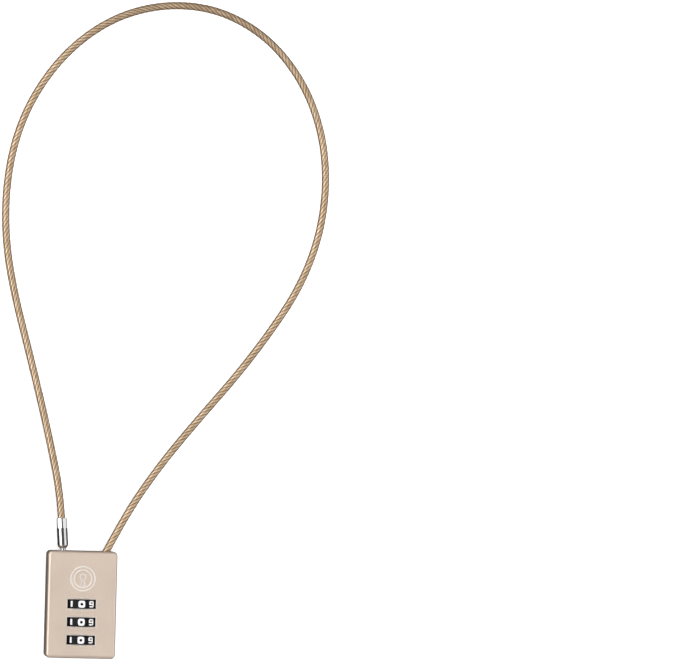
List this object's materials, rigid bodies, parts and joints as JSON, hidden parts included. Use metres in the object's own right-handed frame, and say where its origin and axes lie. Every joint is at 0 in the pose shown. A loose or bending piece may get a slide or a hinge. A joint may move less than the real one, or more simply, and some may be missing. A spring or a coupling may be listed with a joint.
{
  "type": "cable combination padlock",
  "caption": "Flat combination padlock with number dials and a long captive wire-rope loop that plugs into the body.",
  "frame": {"origin": "centre of the body's rear face, on which the lock lies", "axes": "+Z out of the dial face, +Y along the body to the end that the cable leaves, +X to the right of the dials"},
  "size_m": [0.0973, 0.1953, 0.0115],
  "materials": {
    "casing_metal": "satin champagne metallic lacquer on die-cast zinc",
    "dial_black": "fine matt",
    "numeral_white": "printed paint",
    "polished_chrome": "mirror",
    "coated_cable": "twisted wire under a clear golden coat",
    "spring_steel": "bright spring temper",
    "mechanism_steel": "plain bright steel",
    "rivet_steel": "dressed flush",
    "sleeve_steel": "crimped",
    "ring_brass": "turned"
  },
  "bodies": {
    "housing": {"front_casing": "casing_metal", "rear_cover": "casing_metal", "cover_rivets": "rivet_steel", "cable_anchor": "sleeve_steel", "cable_fixed_half": "coated_cable", "detent_leaf": "spring_steel", "latch_leaf": "spring_steel", "spindle_spring": "spring_steel", "reset_spring": "spring_steel"},
    "spindle": {"spindle": "mechanism_steel"},
    "plug": {"lock_pin": "polished_chrome", "ferrule": "polished_chrome", "cable_free_half": "coated_cable"},
    "reset": {"reset_button": "mechanism_steel", "reset_slider": "mechanism_steel"},
    "dial_1": {"dial_1": "dial_black", "dial_1_numerals": "numeral_white"},
    "clutch_ring_1": {"clutch_ring_1": "ring_brass"},
    "dial_2": {"dial_2": "dial_black", "dial_2_numerals": "numeral_white"},
    "clutch_ring_2": {"clutch_ring_2": "ring_brass"},
    "dial_3": {"dial_3": "dial_black", "dial_3_numerals": "numeral_white"},
    "clutch_ring_3": {"clutch_ring_3": "ring_brass"}
  },
  "joints": [
    {"name": "dial_1_turn", "type": "hinge", "parent": "housing", "child": "dial_1", "pos_m": [0, 0.0002, 0.00645], "axis": [0, 1, 0], "continuous": true, "deforming": ["detent_leaf"]},
    {"name": "dial_2_turn", "type": "hinge", "parent": "housing", "child": "dial_2", "pos_m": [0, -0.0051, 0.00645], "axis": [0, 1, 0], "continuous": true, "deforming": ["detent_leaf"]},
    {"name": "dial_3_turn", "type": "hinge", "parent": "housing", "child": "dial_3", "pos_m": [0, -0.0104, 0.00645], "axis": [0, 1, 0], "continuous": true, "deforming": ["detent_leaf"]},
    {"name": "clutch_ring_1_shift", "type": "slide", "parent": "dial_1", "child": "clutch_ring_1", "axis": [0, -1, 0], "range_m": [0, 0.001]},
    {"name": "clutch_ring_2_shift", "type": "slide", "parent": "dial_2", "child": "clutch_ring_2", "axis": [0, -1, 0], "range_m": [0, 0.001]},
    {"name": "clutch_ring_3_shift", "type": "slide", "parent": "dial_3", "child": "clutch_ring_3", "axis": [0, -1, 0], "range_m": [0, 0.001]},
    {"name": "spindle_shift", "type": "slide", "parent": "housing", "child": "spindle", "axis": [0, 1, 0], "range_m": [0, 0.0015], "stiffness_N_per_m": 200, "springref_m": -0.001, "deforming": ["spindle_spring"]},
    {"name": "plug_slide", "type": "slide", "parent": "housing", "child": "plug", "axis": [0, 1, 0], "range_m": [0, 0.0085], "deforming": ["latch_leaf"]},
    {"name": "reset_press", "type": "slide", "parent": "housing", "child": "reset", "axis": [0, -1, 0], "range_m": [0, 0.001], "stiffness_N_per_m": 300, "springref_m": -0.0005, "deforming": ["reset_spring"]}
  ],
  "couplings": [
    {"joint": "clutch_ring_1_shift", "follows": "reset_press", "ratio": 1},
    {"joint": "clutch_ring_2_shift", "follows": "reset_press", "ratio": 1},
    {"joint": "clutch_ring_3_shift", "follows": "reset_press", "ratio": 1}
  ]
}
